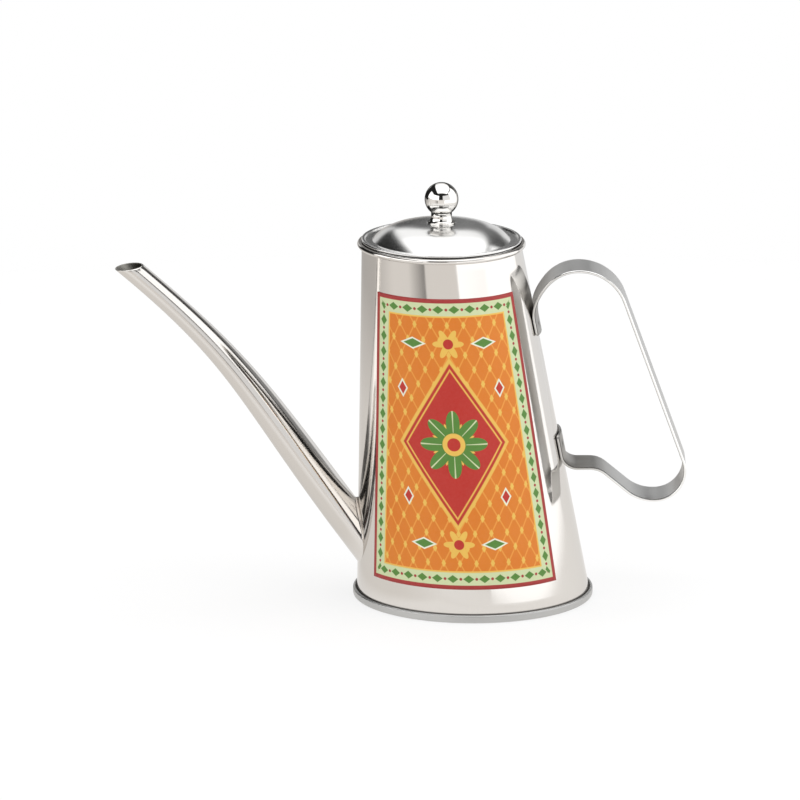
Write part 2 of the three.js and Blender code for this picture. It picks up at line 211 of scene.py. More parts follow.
class Finishes(bpy.types.PropertyGroup):
    polished: tint("Polished steel", "Body and spout", 0.74, 0.715, 0.685)
    satin: tint("Satin steel", "Handle and base seam", 0.75, 0.75, 0.74)
    sheared: tint("Sheared edge", "Edges of the strap", 0.92, 0.92, 0.91)
    spun: tint("Spun steel", "Lid", 0.76, 0.755, 0.745)
    chrome: tint("Chrome", "Knob", 0.86, 0.845, 0.82)
    # Rim tints darken grazing reflections: painted dark outlines, faint on body, spout and strap,
    # strong on the knob
    polished_rim: tint("Polished rim", "Grazing reflections of body and spout", 0.86, 0.86, 0.86)
    satin_rim: tint("Satin rim", "Grazing reflections of the strap", 0.75, 0.75, 0.75)
    chrome_rim: tint("Chrome rim", "Grazing reflections of the knob", 0.03, 0.03, 0.03)
    fastener: tint("Fastener steel", "Screw and washer", 0.5, 0.5, 0.49)
    solder: tint("Solder", "Fillet round the spout's root", 0.42, 0.36, 0.3)
    # Darkens the strap's tabs: partly heat tint, partly painted shade, most on the face towards
    # the wall
    heat: tint("Heat tint", "Strap next to its welds", 0.16, 0.14, 0.11)
    bore: tint("Bore", "Inside of the spout", 0.34, 0.33, 0.3)
    # Dark colour of painted shade in folds and under the lid's hem, and of the strap's burr and
    # weld scorch
    shade_and_stain: tint("Seam shadow", "Dull line in the folds", 0.05, 0.043, 0.038)
    line: tint("Label line", "Outer line of the label", 0.38, 0.035, 0.035)
    band: tint("Label band", "Pale band of the label", 0.62, 0.7, 0.42)
    field: tint("Label field", "Ground of the label", 0.7, 0.18, 0.012)
    lattice: tint("Label lattice", "Lattice on the ground", 0.8, 0.33, 0.05)
    gold: tint("Label gold", "Light ornaments", 0.82, 0.52, 0.1)
    leaf: tint("Label green", "Green ornaments", 0.09, 0.24, 0.04)
    crimson: tint("Label crimson", "Middle lozenge", 0.5, 0.028, 0.02)
    # Painted light and shade on the table as metal sees it: paler in front, by the handle and
    # round the foot
    floor: tint("Floor", "Table top behind the cruet", 0.66, 0.638, 0.605)
    near_floor: tint("Near floor", "Table top in front of the cruet", 0.95, 0.92, 0.885)
    sheen: tint("Floor sheen", "Table top as the metal shows it", 0.88, 0.85, 0.815)
    near_sheen: tint("Near sheen", "Near table top as the metal shows it", 1.0, 0.985, 0.965)
    mirror: share("Polish", "Roughness of the polished steel", 0.07)
    brushed: share("Brushing", "Roughness of the satin steel", 0.27)


class StageSizes(bpy.types.PropertyGroup):
    floor_radius: length("Floor radius", "Radius of the round floor", 600.0)
    elevation: angle("Camera elevation", "Angle of the camera above the table", 14.1)
    distance: length("Camera distance", "Distance of the camera from its aim", 4000.0)
    view_width: length("View width", "Width of the view at the aim", 304.0)
    aim_height: length("Aim height", "Height of the camera's aim", 75.6)
    aim_left: length("Aim left", "Camera's aim towards the spout", 27.8)


class CruetSettings(bpy.types.PropertyGroup):
    body: PointerProperty(type=BodySizes)
    spout: PointerProperty(type=SpoutSizes)
    handle: PointerProperty(type=HandleSizes)
    label: PointerProperty(type=LabelSizes)
    lid: PointerProperty(type=LidSizes)
    knob: PointerProperty(type=KnobSizes)
    finish: PointerProperty(type=Finishes)
    stage: PointerProperty(type=StageSizes)


def settings():
    return bpy.context.scene.cruet


# Lines and grids


def smoothstep(value):
    """3 t squared minus 2 t cubed of the value held between 0 and 1."""
    held = np.clip(value, 0.0, 1.0)
    return held * held * (3.0 - 2.0 * held)


def arc(centre, radius, first, last, count):
    """Points centre + radius (cos a, sin a), with a from first to last in degrees."""
    turn = np.radians(np.linspace(first, last, count))[:, None]
    return np.asarray(centre) + radius * np.hstack([np.cos(turn), np.sin(turn)])


def unit(vectors):
    """Vectors divided by their lengths."""
    return vectors / np.linalg.norm(vectors, axis=-1, keepdims=True)


def rounded_line(corners, bends, degrees=9.0, hold=0.2):
    """A line through corners whose k-th corner is an arc of radius bends[k].

    The arc touches both sides at bend x tan(half the turn) from the corner. A point hold x bend
    before it and one after it keep the straight parts straight when they are shaded smooth.
    """
    corners = np.asarray(corners, float)
    runs = [corners[:1]]
    for before, here, after, bend in zip(corners[:-2], corners[1:-1], corners[2:], bends):
        if bend == 0.0:
            runs.append(here[None])
            continue
        into, away = unit(here - before), unit(after - here)
        turn = math.atan2(into[0] * away[1] - into[1] * away[0], into @ away)
        start = here - into * bend * math.tan(abs(turn) / 2)
        side = np.array([-into[1], into[0]]) * bend * np.sign(turn)
        steps = max(3, math.ceil(abs(math.degrees(turn)) / degrees))
        sweep = np.linspace(0.0, turn, steps + 1)[:, None]
        spun = np.hstack([
            side[0] * np.cos(sweep) - side[1] * np.sin(sweep),
            side[0] * np.sin(sweep) + side[1] * np.cos(sweep),
        ])
        bow = start + side - spun
        if hold:
            bow = np.vstack([bow[:1] - into * bend * hold, bow, bow[-1:] + away * bend * hold])
        runs.append(bow)
    return np.vstack(runs + [corners[-1:]])


def sheet_outline(centre, thick, from_axis=False):
    """Outline of a bent sheet: its centre line moved half the thickness to either side.

    Each cut edge is a half circle, and a line that starts on the axis has no edge there.
    """
    half = thick / 2
    legs = unit(np.diff(centre, axis=0))
    before, after = np.vstack([legs[:1], legs]), np.vstack([legs, legs[-1:]])
    middle = unit(before + after)
    side = np.stack([-middle[:, 1], middle[:, 0]], axis=1)
    side *= half / np.sum(middle * after, axis=1, keepdims=True)
    turn = np.linspace(0.0, np.pi, 8)[1:-1, None]
    far = centre[-1] + np.cos(turn) * side[-1] + np.sin(turn) * middle[-1] * half
    near = centre[0] - np.cos(turn) * side[0] - np.sin(turn) * middle[0] * half
    parts = [centre + side, far, (centre - side)[::-1]]
    return np.vstack(parts if from_axis else parts + [near])


def revolve(outline, sides=ROUND_SIDES):
    """Grid of (r cos a, r sin a, z): each outline point (r, z) carried round the Z axis."""
    turn = np.linspace(0.0, 2 * np.pi, sides, endpoint=False)
    radius, height = outline[:, :1], outline[:, 1:]
    flat = np.zeros_like(turn)
    return np.stack([radius * np.cos(turn), radius * np.sin(turn), height + flat], axis=-1)


def grid_faces(rows, columns, join_rows=True):
    """Quads between neighbours of a grid of rings, the last joined to the first where asked."""
    index = np.arange(rows * columns).reshape(rows, columns)
    if join_rows:
        index = np.vstack([index, index[:1]])
    index = np.hstack([index, index[:, :1]])
    quads = [index[:-1, :-1], index[:-1, 1:], index[1:, 1:], index[1:, :-1]]
    return np.stack(quads, axis=-1).reshape(-1, 4)


def capped_faces(rows, columns):
    """Quads of a grid of rings, with its end rings closed from one half to the other."""
    near = np.arange(columns // 2 - 1)
    far = columns - 1 - near
    strip = np.stack([near, near + 1, far - 1, far], axis=-1)
    sides = grid_faces(rows, columns, join_rows=False)
    return np.vstack([sides, strip[:, ::-1], strip + (rows - 1) * columns])


def merge_points(mesh, closed):
    """Merge the points that share a place, and turn the faces of a closed mesh outwards."""
    shape = bmesh.new()
    shape.from_mesh(mesh)
    bmesh.ops.remove_doubles(shape, verts=shape.verts, dist=SAME_POINT)
    if closed and shape.calc_volume(signed=True) < 0:
        bmesh.ops.reverse_faces(shape, faces=shape.faces)
    shape.to_mesh(mesh)
    shape.free()


def solid_mesh(name, points, faces, fields=None, uv=None):
    """A closed, smooth mesh of these points and faces, its poles merged and its faces outwards."""
    mesh = bpy.data.meshes.new(name)
    mesh.from_pydata(points.reshape(-1, 3).tolist(), [], faces.tolist())
    for field, values in (fields or {}).items():
        layer = mesh.attributes.new(field, "FLOAT", "POINT")
        layer.data.foreach_set("value", np.ascontiguousarray(values, np.float32).ravel())
    if uv is not None:
        corner = np.empty(len(mesh.loops), np.int32)
        mesh.loops.foreach_get("vertex_index", corner)
        layer = mesh.uv_layers.new(name="UVMap")
        layer.data.foreach_set("uv", uv.reshape(-1, 2)[corner].astype(np.float32).ravel())
    merge_points(mesh, closed=True)
    mesh.polygons.foreach_set("use_smooth", np.ones(len(mesh.polygons), bool))
    mesh.update()
    return mesh


def place(name, mesh, material, body, slot, node):
    """Link a piece, give it its finish, and let it ride on its body for a CAD node; the slot is
    not used.
    """
    piece = bpy.data.objects.new(name, mesh)
    bpy.context.scene.collection.objects.link(piece)
    mesh.materials.clear()
    mesh.materials.append(material)
    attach(piece, body)
    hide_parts(node)
    return piece


def turned(name, outline, on_axis=False, move=(0.0, 0.0, 0.0), lean=None, sides=ROUND_SIDES):
    """Mesh of a revolved outline, moved into place and shifted level by level by lean(z)."""
    points = revolve(outline, sides)
    if lean:
        points[..., 0] += lean(points[..., 2])
    faces = grid_faces(len(outline), sides, join_rows=not on_axis)
    return solid_mesh(name, points + np.asarray(move), faces)


# The leaning cone that everything is set out from


def wall_share(z):
    """How far up the wall a height lies, 0 at the seam and 1 at the rim."""
    body = settings().body
    return (z - body.seam_height) / (body.rim_height - body.seam_height)


def wall_radius(z):
    """Outer radius of the wall, falling evenly from the seam to the rim."""
    body = settings().body
    return body.base_radius + (body.rim_radius - body.base_radius) * wall_share(z)


def lean_at(z):
    """X of the middle of the body's round section, moving evenly towards the spout."""
    return -settings().body.rim_lean * np.clip(wall_share(z), 0.0, 1.0)


# Shader expressions


def both_ways(operation):
    """The operator that adds a Math node, and its reflected form for a number on the left."""

    def forward(self, other):
        return self.graph.maths(operation, self, other)

    def reflected(self, other):
        return self.graph.maths(operation, other, self)

    return forward, reflected


class Value:
    """A shader socket, with operators that add Math nodes to its tree."""

    __add__, __radd__ = both_ways("ADD")
    __sub__, __rsub__ = both_ways("SUBTRACT")
    __mul__, __rmul__ = both_ways("MULTIPLY")
    __truediv__, __rtruediv__ = both_ways("DIVIDE")
    __pow__, __rpow__ = both_ways("POWER")
    least = both_ways("MINIMUM")[0]
    most = both_ways("MAXIMUM")[0]

    def __init__(self, graph, socket):
        self.graph = graph
        self.socket = socket

    def __neg__(self):
        return self.maths("MULTIPLY", -1.0)

    def __abs__(self):
        return self.maths("ABSOLUTE")

    def maths(self, operation, *others, clamp=False):
        return self.graph.maths(operation, self, *others, clamp=clamp)

    def wrapped(self, half):
        """The value brought between minus half and half by whole turns."""
        return self.maths("WRAP", half, -half)

    def edge(self, soft):
        """0 below zero and 1 above it, over a width of soft."""
        return self.maths("MULTIPLY_ADD", 1.0 / soft, 0.5, clamp=True)


class Graph:
    """A node tree that is built up by expressions."""

    def __init__(self, tree):
        tree.nodes.clear()
        self.tree = tree

    def add(self, kind, options=None, values=None, output=0):
        """A node of a kind: its options are set first, then its sockets are given or linked."""
        node = self.tree.nodes.new(kind)
        node.location.x = 180 * len(self.tree.nodes)
        for name, option in (options or {}).items():
            setattr(node, name, option)
        for key, value in (values or {}).items():
            socket = node.inputs[key]
            if isinstance(value, Value):
                self.tree.links.new(value.socket, socket)
            elif socket.type == "RGBA":
                socket.default_value = (*value[:3], 1.0)
            else:
                socket.default_value = value
        return Value(self, node.outputs[output]) if node.outputs else None

    def maths(self, operation, *values, clamp=False):
        options = {"operation": operation, "use_clamp": clamp}
        return self.add("ShaderNodeMath", options, dict(enumerate(values)))

    def mix(self, factor, first, second):
        """The first colour where the factor is 0 and the second where it is 1."""
        values = {0: factor, 6: first, 7: second}
        return self.add("ShaderNodeMix", {"data_type": "RGBA"}, values, output=2)

    def parts(self, vector):
        """The X, Y and Z values of a vector."""
        split = self.add("ShaderNodeSeparateXYZ", None, {0: vector}).socket.node
        return [Value(self, socket) for socket in split.outputs]

    def vector(self, x, y, z):
        return self.add("ShaderNodeCombineXYZ", None, {0: x, 1: y, 2: z})

    def place(self):
        """Object coordinates in metres."""
        return self.add("ShaderNodeTexCoord", output="Object")

    def field(self, name):
        """A value stored on the points of the mesh."""
        return self.add("ShaderNodeAttribute", {"attribute_name": name}, output="Fac")

    def seen_by(self, *rays):
        """1 for rays of these kinds and 0 for others."""
        kinds = [self.add("ShaderNodeLightPath", output=ray) for ray in rays]
        return functools.reduce(Value.most, kinds)

    def noise(self, vector, scale, detail=2.0, roughness=0.5):
        values = {"Vector": vector, "Scale": scale, "Detail": detail, "Roughness": roughness}
        return self.add("ShaderNodeTexNoise", None, values)

    def stretched(self, vector, scale):
        return self.add("ShaderNodeMapping", None, {"Vector": vector, "Scale": scale})

    def bump(self, height, strength, distance, normal=None):
        values = {"Height": height, "Strength": strength, "Distance": distance}
        if normal:
            values["Normal"] = normal
        return self.add("ShaderNodeBump", None, values)


# Finishes


def make_finish(recipe):
    """A material, named after its recipe, whose shader inputs are what the recipe gives."""
    material = bpy.data.materials.new(recipe.__name__)
    material.use_nodes = True
    graph = Graph(material.node_tree)
    shader = graph.add("ShaderNodeBsdfPrincipled", None, recipe(graph))
    graph.add("ShaderNodeOutputMaterial", None, {"Surface": shader})
    return material


def toned(colour, tone):
    """A colour made darker by a factor."""
    return [tone * part for part in colour]


def metal(colour, roughness, normal, rim=WHITE):
    """Shader inputs of bare metal, where rim is the colour of its grazing reflections."""
    return {
        "Base Color": colour,
        "Metallic": 1.0,
        "Roughness": roughness,
        "Specular Tint": rim,
        "Normal": normal,
    }


def polished_steel(graph):
    """Mirror-polished sheet: long faint polishing lines, a slow waviness, and rougher folds with
    painted shade.
    """
    finish, body = settings().finish, settings().body
    place = graph.place()
    height = graph.parts(place)[2]
    lines = graph.noise(graph.stretched(place, (1100.0, 1100.0, 26.0)), 1.0, 3.0, 0.6)
    wave = graph.noise(graph.stretched(place, (1.0, 1.0, 0.55)), 34.0, 1.0)
    smear = graph.noise(place, 55.0, 4.0, 0.62)
    foot, crest = body.seam_height + 0.0004, body.rim_height + 0.86 * body.curl_radius
    # Painted shade: the foot just above the seam and the top of the rolled rim, under the lid's
    # hem, are darkened
    fold_shade = (1.0 - (height - foot).edge(0.0004)).most((height - crest).edge(0.0002))
    clean = graph.mix(lines, toned(finish.polished, 0.97), finish.polished)
    rough = finish.mirror * (0.55 + 0.9 * smear) + 0.03 * lines + 0.4 * fold_shade
    normal = graph.bump(lines, 0.035, 0.0001, graph.bump(wave, 0.2, 0.0006))
    return metal(graph.mix(0.75 * fold_shade, clean, finish.shade_and_stain), rough, normal, finish.polished_rim)


def spout_steel(graph):
    """Polished tube with lines along its length, a darker, rougher bore and solder at its root."""
    finish = settings().finish
    place = graph.place()
    x, y, z = graph.parts(place)
    along, root, inside = (graph.field(name) for name in ("along", "root", "inside"))
    lines = graph.noise(graph.vector(along * 22.0, y * 1000.0, (x + z) * 700.0), 1.0, 3.0, 0.6)
    wave = graph.noise(graph.vector(along * 16.0, y * 34.0, 0.0), 1.0, 1.0)
    smear = graph.noise(place, 60.0, 4.0, 0.62)
    grain = graph.noise(place, 1400.0, 3.0, 0.6)
    solder = (root - 0.35 + 0.3 * (smear - 0.5)).edge(0.3)
    bright = graph.mix(lines, toned(finish.polished, 0.97), finish.polished)
    dull = graph.mix(lines, toned(finish.bore, 0.3), finish.bore)
    clean = graph.mix(inside, bright, dull)
    rough = finish.mirror * (1.0 + 1.1 * smear) + 0.04 * lines + 0.22 * solder + 0.35 * inside
    relief = graph.bump(lines, 0.03, 0.0001, graph.bump(wave, 0.12, 0.0006))
    return metal(
        graph.mix(solder * (0.55 + 0.45 * grain), clean, finish.solder),
        rough,
        graph.bump(grain * solder, 0.25, 0.0003, relief),
        finish.polished_rim,
    )


def strap_steel(graph):
    """Satin strap brushed along its length, with bright sheared edges and a burr inside them.

    Heat tint and painted shade darken its tabs, which are scorched round their spot welds.
    """
    finish, handle = settings().finish, settings().handle
    place = graph.place()
    x, y, _ = graph.parts(place)
    fields = ("along", "inner", "weld", "scorch")
    along, inner, weld, scorch = (graph.field(name) for name in fields)
    coarse = graph.noise(graph.vector(along * 55.0, y * 1500.0, 0.0), 1.0, 4.0, 0.65)
    fine = graph.noise(graph.vector(along * 160.0, y * 6000.0, x * 90.0), 1.0, 3.0, 0.6)
    smear = graph.noise(place, 70.0, 4.0, 0.6)
    grain = 0.6 * coarse + 0.4 * fine
    rub = (abs(y) - (handle.width / 2 - 0.0003)).edge(0.0002)
    burr = (abs(y) - (handle.width / 2 - 0.00045)).edge(0.0002) * (inner - 0.8).edge(0.12)
    # Heat tint with painted shade: the tabs darken near the wall, most on their inner face
    heat = (0.45 + 0.55 * inner) * weld * (0.6 + 0.8 * (smear - 0.5))
    stain = burr.most(scorch * (0.5 + 1.2 * (smear - 0.3)))
    brushed = graph.mix(grain, toned(finish.satin, 0.8), finish.satin)
    sheared = graph.mix(rub, brushed, finish.sheared)
    tinted_and_shaded = graph.mix(heat, sheared, finish.heat)
    rough = finish.brushed * (0.75 + 0.3 * coarse + 0.4 * smear - 0.5 * rub)
    normal = graph.bump(grain, 0.22, 0.00012)
    return metal(graph.mix(stain, tinted_and_shaded, finish.shade_and_stain), rough, normal, finish.satin_rim)


def spun_lines(graph, centre_x):
    """Noise round a vertical axis: fine over the radius and height, slow over the turn."""
    place = graph.place()
    x, y, z = graph.parts(place)
    x = x - centre_x
    radius = (x * x + y * y) ** 0.5
    turn = y.maths("ARCTAN2", x)
    fine = graph.noise(graph.vector(radius * 4200.0, turn * 1.6, z * 4200.0), 1.0, 3.0, 0.65)
    broad = graph.noise(graph.vector(radius * 420.0, turn * 0.8, z * 420.0), 1.0, 2.0)
    return place, radius, z, fine, broad


def seam_steel(graph):
    """Satin base seam, rolled round its length, with painted shade where it folds against the
    wall.
    """
    finish, body = settings().finish, settings().body
    place, radius, z, fine, broad = spun_lines(graph, 0.0)
    smear = graph.noise(place, 80.0, 4.0, 0.62)
    inner = 1.0 - (radius - (body.base_radius + 0.0007)).edge(0.0004)
    # Painted shade in the crevice where the seam folds against the wall
    fold_shade = inner * (z - (body.seam_height - 0.0012)).edge(0.0006)
    dull, bright = (toned(finish.satin, tone) for tone in (0.58, 0.76))
    brushed = graph.mix(0.5 * fine + 0.5 * smear, dull, bright)
    rough = finish.brushed * (1.0 + 0.6 * fine + 0.8 * smear) + 0.3 * fold_shade
    normal = graph.bump(fine, 0.12, 0.0001, graph.bump(broad, 0.06, 0.0003))
    return metal(graph.mix(0.75 * fold_shade, brushed, finish.shade_and_stain), rough, normal)


def lid_steel(graph):
    """Spun lid: turning rings, a slow waviness, faint smears and a rougher line of painted shade
    under its hem.
    """
    finish, body, lid = settings().finish, settings().body, settings().lid
    place, radius, z, fine, broad = spun_lines(graph, -body.rim_lean)
    smear = graph.noise(place, 90.0, 4.0, 0.62)
    levels = lid_levels()
    outer = (radius - (levels["plug"] + lid.clearance)).edge(0.0002)
    # Painted shade: a dark, rougher line along the bottom of the hem, over the rim's roll
    under = outer * (body.rim_height + levels["hem_low"] + 0.00004 - z).edge(0.00016)
    spun = graph.mix(0.5 * fine + 0.5 * broad, toned(finish.spun, 0.88), finish.spun)
    rough = 0.13 + 0.06 * fine + 0.06 * smear + 0.4 * under
    normal = graph.bump(fine, 0.05, 0.0001, graph.bump(broad, 0.04, 0.0002))
    return metal(graph.mix(under, spun, finish.shade_and_stain), rough, normal)


def knob_chrome(graph):
    """Bright plating with faint finger smears and fine specks."""
    finish = settings().finish
    place = graph.place()
    smear = graph.noise(place, 210.0, 5.0, 0.65)
    speck = graph.noise(place, 2600.0, 2.0)
    dull = (smear - 0.5).edge(0.4)
    plated = graph.mix(dull, finish.chrome, toned(finish.chrome, 0.95))
    normal = graph.bump(speck, 0.012, 0.0001)
    # chrome_rim paints a dark outline round the ball at grazing angles
    return metal(plated, 0.018 + 0.04 * dull, normal, finish.chrome_rim)


def fastener_steel(graph):
    """Dull plated steel of the screw and its washer."""
    finish, body = settings().finish, settings().body
    place, _, _, fine, _ = spun_lines(graph, -body.rim_lean)
    blotch = graph.noise(place, 500.0, 4.0, 0.6)
    plated = graph.mix(blotch, toned(finish.fastener, 0.75), finish.fastener)
    return metal(plated, 0.26 + 0.1 * fine + 0.12 * blotch, graph.bump(fine, 0.12, 0.0001))


def label_print(graph):
    """Glossy printed film: a framed trellis ground with a leaf rosette in a tall lozenge.

    Lengths are millimetres on the film: across from its middle line, up from its lower edge.
    """
    finish, label, body = settings().finish, settings().label, settings().body
    low = body.seam_height + label.base_margin
    high = body.rim_height - label.rim_margin
    tall = (high - low) / MILLIMETRE
    wide = [2 * label.half_angle * wall_radius(z) / MILLIMETRE for z in (low, high)]
    u, v, _ = graph.parts(graph.add("ShaderNodeUVMap", {"uv_map": "UVMap"}))
    half = (wide[0] + (wide[1] - wide[0]) * v) * 0.5
    across, up = (u - 0.5) * 2.0 * half, v * tall
    middle = up - tall / 2
    side, level = half - abs(across), tall / 2 - abs(middle)
    rim = side.least(level)
    ink = 0.16
    repeat = 3.0
    diamond = 3.1
    slope = 0.55
    paper = (0.95, 0.9, 0.8)

    line = 1.0 - (rim - 1.6).edge(ink)
    band = 1.0 - (rim - 6.4).edge(ink)
    rule = 1.0 - (rim - 7.0).edge(ink)
    upright = (level - side).edge(ink)
    run = across + (middle - across) * upright
    bed = rim - 4.0
    lozenge = (1.0 - abs((run + repeat).wrapped(repeat)) / 2.1 - abs(bed) / 1.5).edge(0.12)
    bead_x = run.wrapped(repeat)
    bead = (0.55 - (bead_x * bead_x + bed * bed) ** 0.5).edge(ink)

    lean_left = abs((across + slope * middle).wrapped(diamond))
    lean_right = abs((across - slope * middle).wrapped(diamond))
    trellis = (0.3 - lean_left.least(lean_right)).edge(ink)
    knots = (0.85 - lean_left.most(lean_right)).edge(ink)

    frame_edge = 1.0 - abs(across) / 21.5 - abs(middle) / 33.0
    radius = (across * across + middle * middle) ** 0.5
    turn = middle.maths("ARCTAN2", across)
    scallop = abs((turn * 4.0).maths("COSINE"))
    petal = (12.8 * (0.5 + 0.5 * scallop) - radius).edge(ink)
    vein = (0.09 - abs((turn * 4.0).maths("SINE"))).edge(0.05) * (radius - 4.6).edge(ink)
    between = (8.6 * (1.0 - 0.45 * scallop) - radius).edge(ink)
    eye = (4.3 - radius).edge(ink)
    pupil = (2.5 - radius).edge(ink)

    star_y = abs(middle) - 38.0
    star_radius = (across * across + star_y * star_y) ** 0.5
    star_turn = star_y.maths("ARCTAN2", across)
    star = (5.9 * (0.72 + 0.28 * (star_turn * 6.0).maths("COSINE")) - star_radius).edge(ink)
    star_eye = (1.9 - star_radius).edge(ink)
    wing = 1.0 - abs(abs(across) - 13.6) / 5.2 - abs(star_y) / 2.3
    drop_x, drop_y = abs(across) - 19.0, abs(middle) - 20.5
    drop = 1.0 - abs(drop_x) / 2.2 - abs(drop_y) / 3.6

    grain = graph.noise(graph.place(), 900.0, 3.0, 0.6)
    cloud = graph.noise(graph.place(), 60.0, 3.0, 0.55)
    cream = [0.5 * (part + 1.0) for part in finish.band]
    paint = graph.mix(0.35 * cloud, finish.field, finish.lattice)
    for mask, colour in (
        (trellis, finish.lattice),
        (knots, finish.gold),
        (frame_edge.edge(0.02), finish.gold),
        ((frame_edge - 0.07).edge(0.02), finish.crimson),
        ((frame_edge - 0.13).edge(0.02) * (0.16 - frame_edge).edge(0.02), finish.gold),
        (between, finish.gold),
        (petal, finish.leaf),
        (vein * petal, finish.band),
        (eye, finish.gold),
        (pupil, finish.crimson),
        (star, finish.gold),
        (star_eye, finish.crimson),
        (wing.edge(0.06), cream),
        ((wing - 0.26).edge(0.06), finish.leaf),
        (drop.edge(0.08), cream),
        ((drop - 0.3).edge(0.08), finish.crimson),
        (rule, finish.gold),
        (band, finish.band),
        (lozenge * band, finish.leaf),
        (bead * band, finish.line),
        (line, finish.line),
    ):
        paint = graph.mix(mask, paint, colour)
    return {
        "Base Color": graph.mix(0.03 * grain, paint, paper),
        "Specular IOR Level": 0.25,
        "Roughness": 0.34 + 0.12 * cloud + 0.05 * grain,
        "Normal": graph.bump(grain, 0.02, 0.0001),
    }


# Pieces


class CRUET_OT_body(bpy.types.Operator):
    """Leaning sheet cone with a hooked foot, a rolled rim and the hole behind the spout"""

    bl_idname = "cruet.body"
    bl_label = "Body"

    def execute(self, context):
        body = settings().body
        half = body.sheet / 2
        hook = body.base_radius + 2 * body.seam_gap + body.sheet + half
        hook_top = body.seam_height - body.sheet - body.seam_gap
        hook_low = body.sheet + body.seam_gap + half
        foot = [
            (hook, hook_top),
            (hook, hook_low),
            (body.base_radius - half, hook_low),
            (body.base_radius - half, body.seam_height),
        ]
        bent = rounded_line(foot, [body.bend, body.bend])
        slope = math.atan2(body.base_radius - body.rim_radius, body.rim_height - body.seam_height)
        roll = body.curl_radius - half
        middle = (body.rim_radius - half + roll, body.rim_height)
        curl = arc(middle, roll, 180 + math.degrees(slope), -90, 36)
        rise = np.linspace(bent[-1], curl[0], 34)
        outline = sheet_outline(np.vstack([bent, rise[1:-1], curl]), body.sheet)
        mesh = turned("body_wall", outline, lean=lean_at)
        material = make_finish(polished_steel)
        wall = place("body_wall", mesh, material, "vessel", "polished_steel", "body_shell")
        cut_port(wall)
        return {"FINISHED"}


def cut_port(wall):
    """Cut the spout's bore through the wall, and keep the result as the wall's own mesh.

    The port's edge is sharp, so that the wall round it shades smoothly.
    """
    spout = settings().spout
    through = np.linspace(-0.09, 0.16, 12)[:, None]
    turn = np.linspace(0.0, 2 * np.pi, OVAL_SIDES, endpoint=False)
    points = spout_skin(through, turn, spout.sheet)
    bore = solid_mesh("bore", points, capped_faces(*points.shape[:2]))
    cutter = bpy.data.objects.new("bore", bore)
    bpy.context.scene.collection.objects.link(cutter)
    cut = wall.modifiers.new("port", "BOOLEAN")
    cut.object = cutter
    cut.solver = "EXACT"
    bpy.context.view_layer.update()
    cut_wall = wall.evaluated_get(bpy.context.evaluated_depsgraph_get())
    whole = wall.data
    wall.data = bpy.data.meshes.new_from_object(cut_wall)
    wall.modifiers.clear()
    bpy.data.objects.remove(cutter)
    bpy.data.meshes.remove(whole)
    wall.data.name = wall.name
    wall.data.set_sharp_from_angle(angle=SHARP_EDGE)


class CRUET_OT_base(bpy.types.Operator):
    """Base plate with a pressed ring, its edge turned up and folded over the body's foot"""

    bl_idname = "cruet.base"
    bl_label = "Base"

    def execute(self, context):
        body = settings().body
        half = body.sheet / 2
        inner = body.base_radius + body.seam_gap + half
        outer = body.base_radius + 3 * body.seam_gap + 3 * body.sheet - half
        low = 2 * (body.sheet + body.seam_gap)
        ring, width = body.groove_radius, body.groove_width
        corners = [
            (0.0, half),
            (ring - width / 2, half),
            (ring - width / 4, half + body.groove_depth),
            (ring + width / 4, half + body.groove_depth),
            (ring + width / 2, half),
            (outer, half),
            (outer, body.seam_height - half),
            (inner, body.seam_height - half),
            (inner, low),
        ]
        soft = 2.5 * body.bend
        bends = [soft, soft, soft, soft, 1.4 * body.bend, 1.4 * body.bend, body.bend]
        outline = sheet_outline(rounded_line(corners, bends), body.sheet, from_axis=True)
        mesh = turned("base_seam", outline, on_axis=True)
        place("base_seam", mesh, make_finish(seam_steel), "vessel", "satin_steel", "base_plate")
        return {"FINISHED"}


def spout_line(u):
    """Centre line (x, z), speed and ease of the spout at u.

    A cubic Bezier curve from u = 0 on the wall to u = 1 at the mouth, straight beyond either end.
    """
    spout, body = settings().spout, settings().body
    rise = np.array([-math.cos(spout.root_pitch), math.sin(spout.root_pitch)])
    pour = np.array([-math.cos(spout.mouth_pitch), math.sin(spout.mouth_pitch)])
    wall = lean_at(spout.root_height) - wall_radius(spout.root_height)
    root = np.array([wall, spout.root_height])
    mouth = np.array([wall - spout.mouth_reach, body.rim_height - spout.mouth_drop])
    one, two = root + rise * spout.root_pull, mouth - pour * spout.mouth_pull
    t = np.clip(u, 0.0, 1.0)[..., None]
    s = 1.0 - t
    point = s**3 * root + 3 * s * s * t * one + 3 * s * t * t * two + t**3 * mouth
    speed = 3 * (s * s * (one - root) + 2 * s * t * (two - one) + t * t * (mouth - two))
    return point + speed * (u[..., None] - t), speed, smoothstep(u)


def spout_skin(u, turn, depth):
    """Oval tube centre + across x a cos(turn) + Y x b sin(turn), at a depth inside its skin."""
    spout = settings().spout
    centre, speed, ease = spout_line(u)
    way = unit(speed)
    a = (spout.root_thick + (spout.mouth_thick - spout.root_thick) * ease) / 2 - depth
    b = (spout.root_width + (spout.mouth_width - spout.root_width) * ease) / 2 - depth
    across = a * np.cos(turn)
    x = centre[..., 0] + way[..., 1] * across
    z = centre[..., 1] - way[..., 0] * across
    return np.stack(np.broadcast_arrays(x, b * np.sin(turn), z), axis=-1)


def meet(distance, low, high, halvings=44):
    """Where a rising function of u is zero, by halving the span from low to high."""
    for _ in range(halvings):
        middle = (low + high) / 2
        below = distance(middle) < 0
        low, high = np.where(below, middle, low), np.where(below, high, middle)
    return (low + high) / 2


def off_wall(points):
    """Distance of points outside the leaning wall, measured level."""
    x, y, z = np.moveaxis(points, -1, 0)
    return np.hypot(x - lean_at(z), y) - wall_radius(z)


